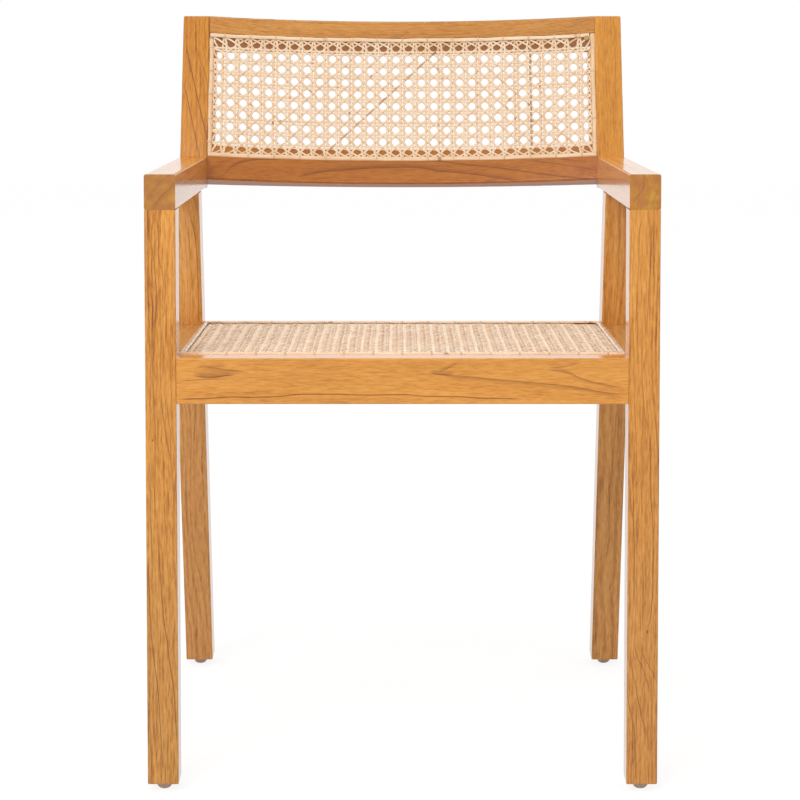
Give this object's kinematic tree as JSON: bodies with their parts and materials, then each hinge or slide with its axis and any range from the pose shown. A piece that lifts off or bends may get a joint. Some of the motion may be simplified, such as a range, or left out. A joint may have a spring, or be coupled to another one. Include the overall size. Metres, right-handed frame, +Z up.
{
  "type": "dining armchair",
  "caption": "Low-backed wooden dining armchair with flat armrests on raked legs, a drilled and hand-woven cane seat, and a leaned, bowed back frame with a woven cane panel.",
  "frame": {"origin": "on the floor, in the middle of the chair's bounding box", "axes": "+Z up, -Y towards the chair's front, +X to the right of someone looking at the front"},
  "size_m": [0.56, 0.6454, 0.8338],
  "materials": {
    "teak": "satin lacquer over golden-brown teak",
    "cane": "natural peeled cane, low gloss",
    "dowel_wood": "bare hardwood",
    "glide_nylon": "satin grey nylon",
    "nail_steel": "zinc-plated"
  },
  "bodies": {
    "root": {"front_leg_left": "teak", "front_leg_right": "teak", "rear_leg_left": "teak", "rear_leg_right": "teak", "armrest_left": "teak", "armrest_right": "teak", "seat_side_rail_left": "teak", "seat_side_rail_right": "teak", "seat_front_rail": "teak", "seat_back_rail": "teak", "back_post_left": "teak", "back_post_right": "teak", "back_top_rail": "teak", "back_lower_rail": "teak", "seat_cane": "cane", "back_cane": "cane", "seat_binder_front": "cane", "seat_binder_back": "cane", "seat_binder_left": "cane", "seat_binder_right": "cane", "back_binder_lower": "cane", "back_binder_top": "cane", "back_binder_left": "cane", "back_binder_right": "cane", "seat_cane_pegs": "cane", "back_cane_pegs": "cane", "front_leg_dowels": "dowel_wood", "rear_leg_dowels": "dowel_wood", "armrest_dowels": "dowel_wood", "front_glide_left": "glide_nylon", "front_glide_right": "glide_nylon", "rear_glide_left": "glide_nylon", "rear_glide_right": "glide_nylon", "glide_nails": "nail_steel"}
  },
  "joints": []
}
